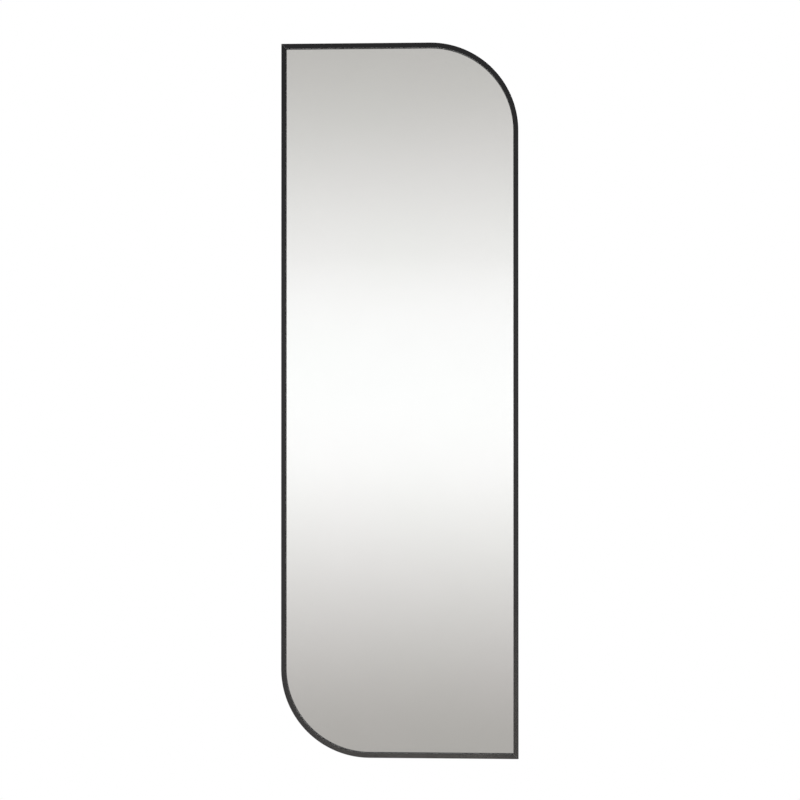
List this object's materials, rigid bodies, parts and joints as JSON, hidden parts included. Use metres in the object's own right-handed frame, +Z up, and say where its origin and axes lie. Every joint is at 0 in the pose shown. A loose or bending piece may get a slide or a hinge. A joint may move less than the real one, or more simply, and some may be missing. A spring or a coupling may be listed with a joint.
{
  "type": "wall mirror",
  "caption": "Tall wall mirror in a thin black metal frame with two rounded corners, opposite each other, and swinging D rings behind to hang it by.",
  "frame": {"origin": "centre of the mirror's outline, on the wall plane that the rear rim of the frame rests on", "axes": "+Z up the mirror, +X to the right as seen from the front, +Y into the wall, so the glass faces -Y"},
  "size_m": [0.405, 0.025, 1.22],
  "materials": {
    "frame": "satin",
    "mirror": "polished",
    "film": "gloss",
    "edge_blocks": "matte",
    "foam": "matte",
    "board": "matte",
    "brace": "satin",
    "clips": "satin",
    "hangers": "polished",
    "screws": "satin"
  },
  "bodies": {
    "frame": {"upper_rail": "frame", "lower_rail": "frame", "mirror_glass": "mirror", "safety_film": "film", "left_edge_blocks": "edge_blocks", "right_edge_blocks": "edge_blocks", "top_edge_blocks": "edge_blocks", "bottom_edge_blocks": "edge_blocks", "foam_strips": "foam", "backing_board": "board", "top_left_brace": "brace", "bottom_right_brace": "brace", "brace_screws": "screws", "left_spring_clips": "clips", "right_spring_clips": "clips", "top_spring_clips": "clips", "bottom_spring_clips": "clips", "left_hanger_strap": "hangers", "right_hanger_strap": "hangers", "hanger_screws": "screws"},
    "left_ring": {"left_hanger_ring": "hangers"},
    "right_ring": {"right_hanger_ring": "hangers"}
  },
  "joints": [
    {"name": "left_ring_swing", "type": "hinge", "parent": "frame", "child": "left_ring", "pos_m": [-0.19, -0.00547, 0.36], "axis": [1, 0, 0], "range_deg": [0, 180]},
    {"name": "right_ring_swing", "type": "hinge", "parent": "frame", "child": "right_ring", "pos_m": [0.19, -0.00547, 0.36], "axis": [1, 0, 0], "range_deg": [0, 180]}
  ]
}
